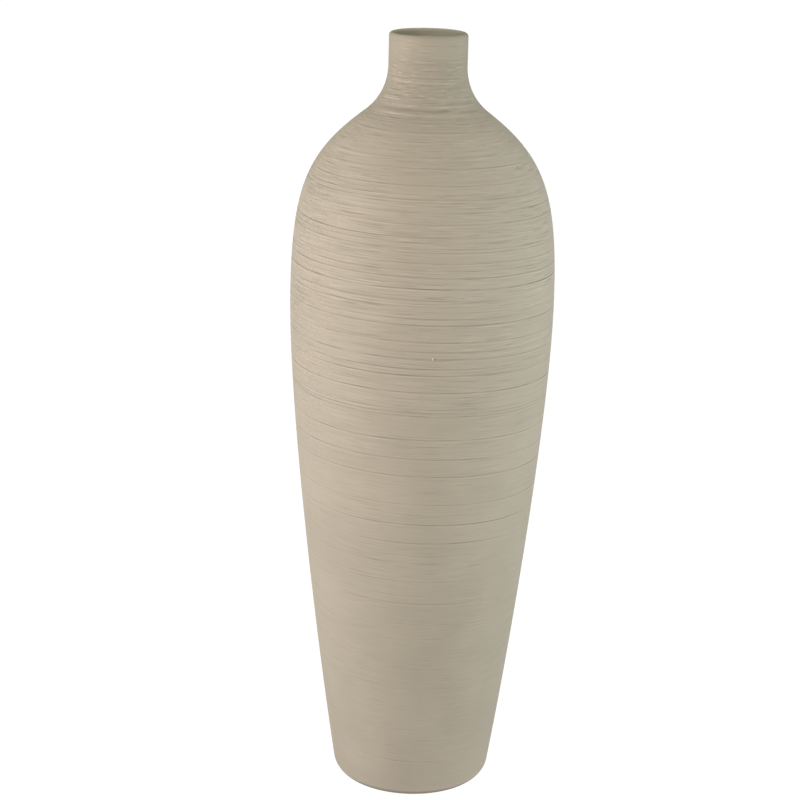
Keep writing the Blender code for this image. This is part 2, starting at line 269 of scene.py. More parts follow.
class OuterLine:
    """The outer line of the vase, from the middle of its base to the crest of its lip."""

    def __init__(self):
        up, foot = (0.0, 1.0), (FOOT_RADIUS, BASE_HEIGHT)
        flat = np.linspace((0.0, BASE_HEIGHT), foot, 50)
        turn = np.linspace(0.0, math.pi / 2 - LOWER_WALL_LEAN, 60)[1:, None]
        rounding = foot + BASE_ROUNDING * np.hstack((np.sin(turn), 1.0 - np.cos(turn)))
        lean = (math.sin(LOWER_WALL_LEAN), math.cos(LOWER_WALL_LEAN))
        closing = (-math.cos(SHOULDER_SLOPE), math.sin(SHOULDER_SLOPE))
        belly, root = (BELLY_RADIUS, BELLY_HEIGHT), (NECK_ROOT_RADIUS, NECK_ROOT_HEIGHT)
        neck = (NECK_RADIUS, NECK_HEIGHT)
        neck_top = (NECK_RADIUS, OVERALL_HEIGHT - LIP_OUTER_ROUNDING)
        over = np.linspace(0.0, math.pi / 2, 40)[1:, None]
        lip = neck_top + LIP_OUTER_ROUNDING * np.hstack((np.cos(over) - 1.0, np.sin(over)))
        stretches = (
            (flat, FOOT_THICKNESS),
            (rounding, FOOT_THICKNESS),
            (curve_between(rounding[-1], lean, belly, up, LOWER_WALL_PULLS), BELLY_WALL),
            (curve_between(belly, up, root, closing, SHOULDER_PULLS), NECK_ROOT_WALL),
            (curve_between(root, closing, neck, up, NECK_FLARE_PULLS), LIP_WALL),
            (np.linspace(neck, neck_top, 60)[1:], LIP_WALL),
            (lip, LIP_WALL),
        )
        self.points = np.vstack([points for points, wall in stretches])
        steps = np.linalg.norm(np.diff(self.points, axis=0), axis=1)
        self.gone = np.concatenate(((0.0,), np.cumsum(steps)))
        ends = np.cumsum([len(points) for points, wall in stretches]) - 1
        self.foot, _, self.belly, self.neck_root, _, self.neck_top, self.crest = self.gone[ends]
        walls = [FOOT_THICKNESS] + [wall for points, wall in stretches]
        self.walls = np.interp(self.gone, np.concatenate(((0.0,), self.gone[ends])), walls)
        along = np.gradient(self.points, self.gone, axis=0)
        along /= np.linalg.norm(along, axis=1)[:, None]
        self.out = np.stack((along[:, 1], -along[:, 0]), axis=1)

    def at(self, distance, share=0.0, depth=0.0):
        """Points at distances along the line, set in by a share of the wall and a depth."""
        inset = np.interp(distance, self.gone, self.walls) * share + depth
        axes = [
            np.interp(distance, self.gone, self.points[:, axis])
            - np.interp(distance, self.gone, self.out[:, axis]) * inset
            for axis in (0, 1)
        ]
        return np.stack(axes, axis=-1)

    def stretch(self, start, end, step, share=0.0, depth=0.0):
        """Evenly spaced points between two distances along the line."""
        count = max(2, round(abs(end - start) / step) + 1)
        return self.at(np.linspace(start, end, count), share, depth)


line = OuterLine()
BODY_SEAM = line.belly - BODY_SEAM_BELOW_BELLY
NECK_SEAM = line.neck_root


# -------- the comb's marks

def at_heights(height, *steps):
    """A value that changes evenly with the height between (height, value) steps."""
    heights, values = zip(*steps)
    return np.interp(height, heights, values)


def around(angle, middle, width):
    """1 at a middle angle, falling off softly on both sides of it."""
    return np.exp(-(((angle - middle) / width) ** 2))


def comb_lean(height):
    """How far a mark drops in one turn: nearly level on the neck, more on the body."""
    return at_heights(
        height, (0.36, 0.0160), (0.40, 0.0145), (0.46, 0.0140), (0.51, 0.0042), (0.60, 0.0036)
    )


def comb_bite(height, angle):
    """How hard the fine teeth pressed: lightly near the foot, hardest high on the left."""
    bite = at_heights(
        height, (0.00, 0.10), (0.02, 0.18), (0.15, 0.30), (0.18, 0.38), (0.28, 0.40), (0.34, 0.62),
        (0.49, 0.72), (0.51, 0.52), (0.57, 0.50), (0.58, 0.40), (0.59, 0.30), (0.597, 0.10),
        (0.60, 0.00),
    )
    left = around(angle, -1.20, 0.45)
    left = left * at_heights(height, (0.26, 0.0), (0.46, 1.0), (0.51, 0.3), (0.57, 0.0))
    side = around(np.abs(angle), 1.15, 0.45)
    side = side * at_heights(height, (0.16, 0.0), (0.20, 1.0), (0.34, 1.0), (0.42, 0.0))
    return bite * (1.0 + 0.3 * left - 0.5 * side)


def rough_clay(height, angle):
    """Where the grog stands out of the clay: high on the left, and in two places at the back."""
    rough = around(angle, -1.20, 0.42) + 0.7 * around(np.abs(angle), 2.5, 0.35)
    rough = rough * at_heights(
        height, (0.25, 0.0), (0.34, 1.0), (0.48, 1.0), (0.51, 0.4), (0.57, 0.4), (0.58, 0.1)
    )
    return rough + at_heights(
        height, (0.02, 0.04), (0.30, 0.06), (0.52, 0.06), (0.53, 0.14), (0.57, 0.14), (0.58, 0.06)
    )


# The wall rises all the way from the foot to the crest, so a height there gives one distance.
WALL = line.gone >= line.foot - 1e-9


class CombedWall:
    """A map of the wall, rows up it and columns round it, that the marks are cut into."""

    def __init__(self):
        self.rng = np.random.default_rng(COMB_SEED)
        rows = int((line.crest - line.foot) / MAP_STEP) + 2
        self.cuts, self.ridges = np.zeros((rows, MAP_COLUMNS)), np.zeros((rows, MAP_COLUMNS))

    def slow_change(self, angles, knots, low, high):
        """A value that wanders smoothly between two limits once round the vase."""
        values = self.rng.uniform(low, high, knots)
        place = (angles / FULL_TURN) % 1.0 * knots
        index = place.astype(int)
        share = place - index
        share = share * share * (3.0 - 2.0 * share)
        return values[index % knots] * (1.0 - share) + values[(index + 1) % knots] * share

    def cut(self, height, middle, half_span, strengths, width, knots=16, raised=False, change=1.0):
        """Cuts one mark over an arc round its middle angle.

        The strengths are those to the left, in the middle and to the right of the arc, and change
        is how much they vary on the way. A raised mark is a thin line of clay that stands up.
        """
        columns = np.arange(MAP_COLUMNS)
        angles = columns * FULL_TURN / MAP_COLUMNS
        away = (angles - middle + math.pi) % FULL_TURN - math.pi
        inside = np.abs(away) < half_span
        columns, away = columns[inside], away[inside]
        fade = (half_span - np.abs(away)) / min(LONGEST_FADE, half_span * FADE_SHARE)
        fade = np.clip(fade, 0.0, 1.0)
        wander = MARK_WANDER * self.slow_change(away, 9, -1.0, 1.0)
        path = height - comb_lean(height) * away / FULL_TURN + wander
        distance = np.interp(path, line.points[WALL, 1], line.gone[WALL])
        press = self.slow_change(away, knots, 0.0, 1.0)
        press = press + self.slow_change(away, 4 * knots, -0.3, 0.3)
        strength = np.interp(away, (-SIDE_ANGLE, 0.0, SIDE_ANGLE), strengths)
        strength = strength * fade * fade * (3.0 - 2.0 * fade)
        strength = strength * (1.0 + change * (np.clip(press, 0.0, 1.0) - MEAN_PRESS))
        reach = int(math.ceil(MARK_REACH * width / MAP_STEP))
        first = ((distance - line.foot) / MAP_STEP).astype(int) - reach
        for step in range(2 * reach + 2):
            rows = first + step
            held = (rows >= 0) & (rows < len(self.cuts))
            offset = (line.foot + rows * MAP_STEP - distance)[held] / width
            place, much = (rows[held], columns[held]), strength[held]
            if raised:
                standing = much * np.exp(-0.5 * (offset / RAISED_LINE_WIDTH) ** 2)
                self.ridges[place] = np.maximum(self.ridges[place], standing)
                continue
            spread = np.where(offset > 0.0, MARK_ABOVE, MARK_BELOW)
            cut, before = much * np.exp(-0.5 * (offset / spread) ** 2), self.cuts[place]
            self.cuts[place] = np.maximum(before, cut) + MEETING_SHARE * np.minimum(before, cut)
            burr = sum(
                share * np.exp(-0.5 * ((offset - over) / wide) ** 2) for share, over, wide in BURRS
            )
            self.ridges[place] = np.maximum(self.ridges[place], much * burr)

    def cut_strong_marks(self):
        """Each mark in front, and half a turn on, where it comes round behind."""
        for height, left, front, right in STRONG_MARKS:
            long = left + right > 0.0
            span = self.rng.uniform(120.0, 160.0) if long else self.rng.uniform(20.0, 50.0)
            self.cut(
                height, 0.0, math.radians(span), np.array((left, front, right)) * STRONG_IN_FRONT,
                STRONG_WIDTH_IN_FRONT, STRONG_KNOTS, change=STRONG_CHANGE,
            )
            strengths = np.array((right, front, left)) * self.rng.uniform(0.7, 1.2, 3)
            span = self.rng.uniform(75.0, 110.0) if long else self.rng.uniform(20.0, 50.0)
            self.cut(
                height - comb_lean(height) / 2.0, math.pi + self.rng.uniform(-0.3, 0.3),
                math.radians(span), strengths * STRONG_BEHIND,
                STRONG_WIDTH_BEHIND, STRONG_KNOTS, change=STRONG_CHANGE,
            )

    def cut_touches(self):
        """The listed touches and raised lines. Those high up are there again at the back."""
        for touches, stronger, usual_width, raised in TOUCH_LISTS:
            for height, first, last, strength, *broad in touches:
                middle = math.radians((first + last) / 2.0)
                half_span = math.radians((last - first) / 2.0 + 2.0)
                strengths, width = (strength * stronger,) * 3, max([usual_width] + broad)
                how = {"raised": raised, "change": TOUCH_CHANGE}
                self.cut(height, middle, half_span, strengths, width, **how)
                if height > REPEATED_BEHIND_OVER:
                    behind = middle + math.pi + self.rng.uniform(-0.6, 0.6)
                    self.cut(height, behind, half_span, strengths, width, **how)

    def cut_fine_teeth(self):
        """The fine teeth touch in short strokes, a few side by side."""
        rng = self.rng
        for _ in range(TEETH_SETTINGS):
            height = rng.uniform(0.012, 0.594)
            middle = rng.uniform(-math.pi, math.pi)
            bite = comb_bite(height, middle)
            if rng.uniform() > bite:
                continue
            half_span = math.radians(rng.uniform(7.0, 30.0))
            half_span = half_span * at_heights(height, (0.28, 0.40), (0.36, 1.0))
            spacing = rng.uniform(0.0016, 0.0024)
            for tooth in range(rng.integers(2, 5)):
                strength = bite * (0.07 + 0.42 * rng.uniform() ** 2)
                shift = rng.uniform(-0.6, 0.6) * half_span
                width = rng.uniform(0.5, 0.7)
                lower = height - tooth * spacing
                self.cut(lower, middle + shift, half_span, (strength,) * 3, width, TEETH_KNOTS)

    def combed(self):
        """The depth of all the marks, as shares of the full depth. Burrs are below zero."""
        self.cut_strong_marks()
        self.cut_touches()
        self.cut_fine_teeth()
        return self.cuts - self.ridges * np.clip(1.0 - 2.0 * self.cuts, 0.0, 1.0)


MARKS = CombedWall().combed()


def marks_at(angles, distances):
    """The depth of the marks at places on the wall."""
    row = np.clip((distances - line.foot) / MAP_STEP, 0.0, len(MARKS) - 1.001)
    column = (angles / FULL_TURN) % 1.0 * MAP_COLUMNS
    r0, c0 = row.astype(int), column.astype(int)
    fr, fc = row - r0, column - c0
    c0, c1 = c0 % MAP_COLUMNS, (c0 + 1) % MAP_COLUMNS
    low = MARKS[r0, c0] * (1.0 - fc) + MARKS[r0, c1] * fc
    high = MARKS[r0 + 1, c0] * (1.0 - fc) + MARKS[r0 + 1, c1] * fc
    return low * (1.0 - fr) + high * fr


# -------- turning the clay

def start_ring(name, radius, height, filled=False):
    """A ring of clay on the wheel, in edit mode, with its open edge selected."""
    bpy.ops.mesh.primitive_circle_add(
        vertices=TURN_STEPS,
        radius=radius,
        fill_type="TRIFAN" if filled else "NOTHING",
        location=(0.0, 0.0, height),
    )
    piece = bpy.context.object
    piece.name = piece.data.name = name
    bpy.ops.object.transform_apply(location=True, rotation=True, scale=True)
    bpy.ops.object.mode_set(mode="EDIT")
    bpy.ops.mesh.select_mode(type="EDGE")
    bpy.ops.mesh.select_all(action="SELECT")
    if filled:
        bpy.ops.mesh.region_to_loop()
    return piece


def pull_wall(outline, radius, height):
    """Draws the selected ring on along an outline of (radius, height) points."""
    for new_radius, new_height in outline:
        rise = (0.0, 0.0, new_height - height)
        bpy.ops.mesh.extrude_region_move(TRANSFORM_OT_translate={"value": rise})
        grow = new_radius / radius
        bpy.ops.transform.resize(value=(grow, grow, 1.0), center_override=(0.0, 0.0, 0.0))
        radius, height = new_radius, new_height


def turn_piece(name, outline, closed_at_start=False, closed_at_end=False):
    """Turns an outline into one closed piece, drawn up ring by ring."""
    (radius, height), rest = outline[0], outline[1:]
    piece = start_ring(name, radius, height, closed_at_start)
    pull_wall(rest, radius, height)
    if closed_at_end:
        bpy.ops.mesh.merge(type="CENTER")
    bpy.ops.mesh.select_all(action="SELECT")
    bpy.ops.mesh.remove_doubles(threshold=0.00001)
    bpy.ops.mesh.normals_make_consistent(inside=False)
    bpy.ops.object.mode_set(mode="OBJECT")
    return piece


def cut_rows(piece, rings):
    """Cuts the bands between the rings of the outside into fine rows."""
    bpy.ops.object.mode_set(mode="EDIT")
    bpy.ops.mesh.select_mode(type="EDGE")
    bpy.ops.mesh.select_all(action="DESELECT")
    clay = bmesh.from_edit_mesh(piece.data)
    on_wall = {}
    for vertex in clay.verts:
        x, y, z = vertex.co
        here = rings[0, 1] - SAME_HEIGHT < z < rings[-1, 1] + SAME_HEIGHT
        radius = np.interp(z, rings[:, 1], rings[:, 0])
        on_wall[vertex] = here and abs(math.hypot(x, y) - radius) < EDGE_NEAR_RINGS
    for edge in clay.edges:
        a, b = edge.verts
        edge.select = on_wall[a] and on_wall[b] and abs(a.co.z - b.co.z) > SAME_HEIGHT
    bmesh.update_edit_mesh(piece.data)
    bpy.ops.mesh.subdivide(number_cuts=ROWS_IN_BAND - 1)
    bpy.ops.object.mode_set(mode="OBJECT")


def comb_outside(piece, distances, rings):
    """Brings the fine rows onto the true curve and cuts the marks into them."""
    mesh = piece.data
    places = np.empty(len(mesh.vertices) * 3)
    mesh.vertices.foreach_get("co", places)
    places = places.reshape(-1, 3)
    radius = np.hypot(places[:, 0], places[:, 1])
    height = places[:, 2]
    gap = np.abs(radius - np.interp(height, rings[:, 1], rings[:, 0]))
    wall = (height > rings[0, 1] - SAME_HEIGHT) & (height < rings[-1, 1] + SAME_HEIGHT)
    wall = wall & (gap < ROW_NEAR_RINGS)
    angle = np.arctan2(places[wall, 0], -places[wall, 1])
    distance = np.interp(height[wall], rings[:, 1], distances)
    marks = marks_at(angle, distance)
    out = [np.interp(distance, line.gone, line.out[:, axis]) for axis in (0, 1)]
    depth = np.minimum(marks, STRONGEST_CUT) * MARK_DEPTH
    moved = line.at(distance) - np.stack(out, axis=-1) * depth[:, None]
    turned = (moved[:, 0] * np.sin(angle), -moved[:, 0] * np.cos(angle), moved[:, 1])
    places[wall] = np.stack(turned, axis=-1)
    mesh.vertices.foreach_set("co", places.ravel())
    # What the finish needs: the marks, how hard the fine teeth pressed, where the grog stands out,
    # how far round behind a place is, and the height at which the comb passed the middle of the
    # front (counted once from the front and once from the back).
    names = ("comb_mark", "comb_bite", "rough", "behind")
    held = {name: np.zeros(len(mesh.vertices), np.float32) for name in names}
    held["comb_mark"][wall] = marks
    held["comb_bite"][wall] = comb_bite(height[wall], angle)
    held["rough"][wall] = rough_clay(height[wall], angle)
    held["behind"][wall] = np.clip((np.abs(angle) - 1.6) / 0.3, 0.0, 1.0)
    lean = comb_lean(height[wall]) / FULL_TURN
    for name, passed in (("from_front", angle), ("from_back", angle % FULL_TURN - math.pi)):
        held[name] = height.astype(np.float32)
        held[name][wall] = height[wall] + lean * passed
    for name, values in held.items():
        mesh.attributes.new(name, "FLOAT", "POINT").data.foreach_set("value", values)
    mesh.update()


def finish_piece(piece, material, replaced, smooth_angle=40.0):
    """Gives a turned piece its shading and material, sets it under the root body, hides the CAD
    node.
    """
    bpy.ops.object.select_all(action="DESELECT")
    piece.select_set(True)
    bpy.context.view_layer.objects.active = piece
    bpy.ops.object.shade_smooth_by_angle(angle=math.radians(smooth_angle))
    piece.data.materials.clear()
    piece.data.materials.append(material)
    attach(piece, "root")
    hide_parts(replaced)
    piece.select_set(False)


def turn_section(name, start, end, before, after, material, replaced, **closed):
    """One section of clay: its outline before the outside, the combed outside, and what follows."""
    bands = max(2, round((end - start) / BAND_HEIGHT))
    distances = np.linspace(start, end, bands + 1)
    rings = line.at(distances)
    piece = turn_piece(name, np.vstack([*before, rings, *after]), **closed)
    cut_rows(piece, rings)
    comb_outside(piece, distances, rings)
    finish_piece(piece, material, replaced)


# -------- finishes

# Colours as linear red, green and blue.
CLAY = (0.46, 0.40, 0.31)
DARKER_CLAY, PALER_CLAY = (0.438, 0.381, 0.296), (0.468, 0.408, 0.317)
# The strokes' dark is painted shade, with slip in the cuts and the grog's dark grains; their pale
# is painted highlight, with paler clay on the burrs and the grog's pale grains.
PAINTED_SHADE_SLIP_AND_GRAIN, PAINTED_HIGHLIGHT_AND_PALE_GRAIN = (0.225, 0.190, 0.138), (0.600, 0.530, 0.420)
# The first is painted shadow in a chip's hollow; the second is the pale broken clay.
CHIP_PAINTED_SHADOW, BROKEN_CLAY = (0.27, 0.23, 0.16), (0.66, 0.63, 0.49)
# Painted shade under the turn of the foot, where it curves in towards the floor.
FOOT_PAINTED_SHADE = (0.170, 0.148, 0.120)
GLAZE = (0.43, 0.39, 0.27)
# The glaze on the lip's crest is darker than in the bore: painted shade on the lip's top.
LIP_GLAZE_PAINTED_SHADE, GLAZE_IN_BORE = (0.430, 0.395, 0.295), (0.505, 0.472, 0.358)
DARKER_GLAZE, PALER_GLAZE = (0.440, 0.405, 0.295), (0.530, 0.485, 0.365)
FELT = (0.060, 0.055, 0.050)
DARKER_FELT, PALER_FELT = (0.038, 0.034, 0.031), (0.092, 0.085, 0.077)
# Painted shade on the way up the neck, and a little painted light near its top: from which height
# to which each sets in.
NECK_PAINTED_SHADES = (
    (0.526, 0.550, (0.895, 0.895, 0.890)),
    (0.553, 0.565, (0.945, 0.945, 0.935)),
    (0.580, 0.588, (1.045, 1.045, 1.050)),
)


def add_node(tree, kind, inputs=None, **settings):
    """Adds a node. Its inputs are given by name or number, as values or as sockets to link."""
    made = tree.nodes.new(kind)
    for name, value in settings.items():
        setattr(made, name, value)
    for key, value in (inputs or {}).items():
        if isinstance(value, bpy.types.NodeSocket):
            tree.links.new(value, made.inputs[key])
        else:
            made.inputs[key].default_value = value
    return made


def vector_node(tree, operation, first, second=(0.0, 0.0, 0.0), output=0):
    made = add_node(tree, "ShaderNodeVectorMath", {0: first, 1: second}, operation=operation)
    return made.outputs[output]


def noise(tree, vector, scale=1.0, detail=2.0, roughness=0.5):
    inputs = {"Vector": vector, "Scale": scale, "Detail": detail, "Roughness": roughness}
    return add_node(tree, "ShaderNodeTexNoise", inputs).outputs["Fac"]


def math_node(tree, operation, first, second=0.0, third=0.0, clamp=False):
    inputs = {0: first, 1: second, 2: third}
    made = add_node(tree, "ShaderNodeMath", inputs, operation=operation, use_clamp=clamp)
    return made.outputs[0]


def times(tree, first, second, clamp=False):
    return math_node(tree, "MULTIPLY", first, second, clamp=clamp)


def times_plus(tree, first, second, third):
    return math_node(tree, "MULTIPLY_ADD", first, second, third)


def spread_out(tree, value, low, high, to_low=0.0, to_high=1.0):
    ends = {"From Min": low, "From Max": high, "To Min": to_low, "To Max": to_high}
    inputs = {"Value": value, **ends}
    made = add_node(tree, "ShaderNodeMapRange", inputs, interpolation_type="SMOOTHSTEP")
    return made.outputs["Result"]


def mixed(tree, share, first, second, blend="MIX"):
    """A mix of two colours, each given as a socket or as red, green and blue."""
    made = tree.nodes.new("ShaderNodeMix")
    made.data_type = "RGBA"
    made.blend_type = blend
    for socket, value in ((0, share), (6, first), (7, second)):
        if isinstance(value, bpy.types.NodeSocket):
            tree.links.new(value, made.inputs[socket])
        else:
            made.inputs[socket].default_value = (*value, 1.0) if isinstance(value, tuple) else value
    return made.outputs[2]


def link_bump(tree, shader, relief, strength, distance):
    inputs = {"Strength": strength, "Distance": distance, "Height": relief}
    bump = add_node(tree, "ShaderNodeBump", inputs)
    tree.links.new(bump.outputs["Normal"], shader.inputs["Normal"])


def new_finish(name, colour, roughness, specular=0.5):
    """An empty non-metallic finish: the tree, its surface shader and the object coordinates."""
    material = bpy.data.materials.new(name)
    material.use_nodes = True
    material.diffuse_color = (*colour, 1.0)
    tree = material.node_tree
    shader = tree.nodes["Principled BSDF"]
    shader.inputs["Base Color"].default_value = (*colour, 1.0)
    shader.inputs["Roughness"].default_value = roughness
    shader.inputs["Specular IOR Level"].default_value = specular
    coordinates = tree.nodes.new("ShaderNodeTexCoord").outputs["Object"]
    return material, tree, shader, coordinates


def attribute(tree, name):
    return add_node(tree, "ShaderNodeAttribute", attribute_name=name).outputs["Fac"]


def teeth_noise(tree, turned, across, along, detail):
    """Noise drawn out along the comb's path.

    It is mixed from two, with the join of one at the back and that of the other in front, so that
    neither join shows.
    """
    level = add_node(tree, "ShaderNodeSeparateXYZ", {0: turned})
    x, y = (times(tree, level.outputs[axis], along) for axis in ("X", "Y"))
    ways = []
    for name, shift in (("from_front", 0.0), ("from_back", 7.0)):
        path = times_plus(tree, attribute(tree, name), across, shift)
        vector = add_node(tree, "ShaderNodeCombineXYZ", {0: x, 1: y, 2: path}).outputs[0]
        ways.append(noise(tree, vector, detail=detail))
    inputs = {0: attribute(tree, "behind"), 2: ways[0], 3: ways[1]}
    return add_node(tree, "ShaderNodeMix", inputs, data_type="FLOAT").outputs[0]


def bare_clay(tree, height, turned, cloud):
    """The clay's colour: cloudy, faintly banded along the comb's path, with painted shade on the
    neck.
    """
    band = teeth_noise(tree, turned, 260.0, 0.9, 1.0)
    wide = teeth_noise(tree, turned, 60.0, 0.8, 0.0)
    bands = math_node(tree, "ADD", times(tree, band, 0.5), times(tree, wide, 0.5))
    banded = spread_out(tree, height, 0.14, 0.34, 0.15, 0.5)
    tone = times_plus(tree, math_node(tree, "SUBTRACT", bands, cloud), banded, cloud)
    colour = mixed(tree, spread_out(tree, tone, 0.35, 0.65), DARKER_CLAY, PALER_CLAY)
    # Painted shade on the neck, and a little painted light near its top.
    for lower, upper, shade in NECK_PAINTED_SHADES:
        colour = mixed(tree, spread_out(tree, height, lower, upper), colour, shade, "MULTIPLY")
    return colour


def strokes_and_grog(tree, place, turned):
    """Painted shade and painted highlight of the teeth's strokes, the grog's grains, and their
    relief.
    """
    bite, rough = attribute(tree, "comb_bite"), attribute(tree, "rough")
    grog = noise(tree, place, scale=950.0, detail=1.0)
    short = teeth_noise(tree, turned, 1400.0, 4.2, 0.0)
    long = teeth_noise(tree, turned, 1100.0, 1.0, 0.0)
    patch = teeth_noise(tree, turned, 90.0, 1.6, 1.0)
    touched = times(tree, spread_out(tree, patch, 0.32, 0.60, 0.40, 1.0), bite)
    # Where the short and the long strokes set in and how strong they are, and the same for the
    # grog: first for the painted shade and dark grains, then for the painted highlight and pale
    # grains.
    tones = []
    for short_ends, long_ends, strokes, grog_ends, grains in (
        ((0.62, 0.72), (0.63, 0.72), 0.44, (0.56, 0.70), 0.46),
        ((0.38, 0.28), (0.37, 0.28), 0.50, (0.44, 0.30), 0.50),
    ):
        tone = spread_out(tree, short, *short_ends)
        tone = times_plus(tree, spread_out(tree, long, *long_ends), 0.5, tone)
        tone = times(tree, times(tree, tone, touched), strokes, clamp=True)
        grit = times(tree, spread_out(tree, grog, *grog_ends), rough)
        tones.append(times_plus(tree, grit, grains, tone))
    dark, pale = tones
    return dark, pale, math_node(tree, "SUBTRACT", pale, dark)


def with_chips(tree, colour, place, grain):
    """A chip shows pale broken clay, with painted shadow in its hollow beside it."""
    for angle, chip_height, size, right, under in CHIPS:
        # First the painted shadow in the chip's hollow, then the pale broken clay.
        for shown, shift, lower, wide in (
            (CHIP_PAINTED_SHADOW, right, under, 0.80), (BROKEN_CLAY, 0.0, 0.0, 0.75)
        ):
            turn, level = math.radians(angle + shift), chip_height - lower * size
            radius = np.interp(level, line.points[WALL, 1], line.points[WALL, 0])
            centre = (radius * math.sin(turn), -radius * math.cos(turn), level)
            away = vector_node(tree, "DISTANCE", place, centre, "Value")
            ragged = times_plus(tree, grain, size * 1.4, away)
            outside, inside = size * (0.70 + wide * 0.75), size * (0.70 + wide * 0.45)
            colour = mixed(tree, spread_out(tree, ragged, outside, inside), colour, shown)
    return colour


def with_glaze(tree, colour, height, across, cloud):
    """The glaze from the lip's crest into the bore, with painted shade on the crest: its colour and
    place.
    """
    ragged = times_plus(tree, cloud, 0.0012, height)
    glazed = spread_out(tree, ragged, OVERALL_HEIGHT - 0.0003, OVERALL_HEIGHT + 0.0009)
    in_bore = spread_out(tree, across, NECK_RADIUS - 0.0031, NECK_RADIUS - 0.0023, 1.0, 0.0)
    in_bore = times(tree, in_bore, spread_out(tree, height, NECK_HEIGHT - 0.01, NECK_HEIGHT))
    # Painted shade: the glaze on the lip's top is darker than the same glaze in the bore.
    colour = mixed(tree, glazed, colour, LIP_GLAZE_PAINTED_SHADE)
    colour = mixed(tree, in_bore, colour, GLAZE_IN_BORE)
    return colour, math_node(tree, "MAXIMUM", glazed, in_bore)


def combed_clay_finish():
    """Matte stoneware with the comb's marks, a few chips, painted shade under the foot and a glazed
    bore.
    """
    material, tree, shader, place = new_finish("combed_stoneware", CLAY, 0.82, 0.12)
    mark = attribute(tree, "comb_mark")
    height = add_node(tree, "ShaderNodeSeparateXYZ", {0: place}).outputs["Z"]
    level = vector_node(tree, "MULTIPLY", place, (1.0, 1.0, 0.0))
    across = vector_node(tree, "LENGTH", level, output="Value")
    turned = vector_node(tree, "NORMALIZE", level)
    cloud = noise(tree, place, scale=22.0, detail=3.0)
    grain = noise(tree, place, scale=1300.0, detail=1.0)

    dark, pale, relief = strokes_and_grog(tree, place, turned)
    # Painted shade in the cuts, partly slip left in them, and painted highlight on the burrs,
    # partly paler clay.
    cut = times(tree, math_node(tree, "MAXIMUM", mark, 0.0), 0.44)
    burr = times(tree, math_node(tree, "MINIMUM", mark, 0.0), -1.0)
    colour = bare_clay(tree, height, turned, cloud)
    # Painted highlight and painted shade of the comb's relief, with slip in the cuts and the grog's
    # own grains.
    colour = mixed(tree, math_node(tree, "ADD", pale, burr, clamp=True), colour, PAINTED_HIGHLIGHT_AND_PALE_GRAIN)
    colour = mixed(tree, math_node(tree, "ADD", dark, cut, clamp=True), colour, PAINTED_SHADE_SLIP_AND_GRAIN)
    colour = with_chips(tree, colour, place, grain)
    # Painted shade: the turn under the foot is darkened where it curves in towards the floor.
    foot_shade = spread_out(tree, height, 0.0092, 0.0062, 0.0, 0.70)
    colour = mixed(tree, foot_shade, colour, FOOT_PAINTED_SHADE)
    colour, glazed = with_glaze(tree, colour, height, across, cloud)
    tree.links.new(colour, shader.inputs["Base Color"])

    dull = spread_out(tree, cloud, 0.2, 0.8, 0.78, 0.90)
    tree.links.new(times_plus(tree, glazed, -0.42, dull), shader.inputs["Roughness"])
    link_bump(tree, shader, times_plus(tree, grain, 0.15, relief), 1.0, 0.00015)
    return material


def liner_glaze_finish():
    """A satin liner glaze, greyed olive, a little thinner and paler in streaks."""
    material, tree, shader, place = new_finish("liner_glaze", GLAZE, 0.38)
    runs = noise(tree, vector_node(tree, "MULTIPLY", place, (90.0, 90.0, 22.0)), detail=3.0)
    specks = noise(tree, place, scale=700.0, detail=2.0)
    tone = times_plus(tree, specks, 0.3, times(tree, runs, 0.7))
    colour = mixed(tree, spread_out(tree, tone, 0.3, 0.7), DARKER_GLAZE, PALER_GLAZE)
    tree.links.new(colour, shader.inputs["Base Color"])
    tree.links.new(spread_out(tree, runs, 0.3, 0.7, 0.32, 0.46), shader.inputs["Roughness"])
    link_bump(tree, shader, runs, 0.6, 0.0002)
    return material


def felt_finish():
    """Pressed wool felt, nearly black, with short matted fibres."""
    material, tree, shader, place = new_finish("pressed_felt", FELT, 0.95, 0.1)
    drawn_out = vector_node(tree, "MULTIPLY", place, (2600.0, 1500.0, 2600.0))
    fibres = noise(tree, drawn_out, detail=4.0, roughness=0.7)
    matted = noise(tree, place, scale=420.0, detail=3.0)
    tone = times_plus(tree, fibres, 0.6, times(tree, matted, 0.4))
    colour = mixed(tree, spread_out(tree, tone, 0.3, 0.7), DARKER_FELT, PALER_FELT)
    tree.links.new(colour, shader.inputs["Base Color"])
    link_bump(tree, shader, fibres, 1.0, 0.0003)
    return material


# -------- the pieces

clay = combed_clay_finish()
glaze = liner_glaze_finish()
felt = felt_finish()


def lower_body():
    """The tapering wall with the floor and the hollow under it, and the tongue of the body seam."""
    roof = BASE_HEIGHT + BASE_HOLLOW_DEPTH
    underside = np.array((
        (0.0040, roof),
        (BASE_HOLLOW_RADIUS - BASE_HOLLOW_EDGE, roof),
        (BASE_HOLLOW_RADIUS - 0.0020, roof - 0.0009),
        (BASE_HOLLOW_RADIUS, BASE_HEIGHT),
        (FOOT_RADIUS - 0.0060, BASE_HEIGHT),
    ))
    top = BODY_SEAM + BODY_SEAM_LAP - SLIP_GAP
    tongue = line.stretch(BODY_SEAM, top, BODY_SEAM_STEP, 0.5, SLIP_GAP / 2)
    inside = line.stretch(top, line.foot + 0.0220, INSIDE_STEP, 1.0)
    corner = line.stretch(line.foot + 0.0200, line.foot, INSIDE_CORNER_STEP, 1.0)
    floor = line.stretch(line.foot - 0.010, 0.0040, FLOOR_STEP, 1.0)
    turn_section(
        "lower_body_clay", line.foot, BODY_SEAM, [underside], [tongue, inside, corner, floor],
        clay, "lower_body", closed_at_start=True, closed_at_end=True,
    )


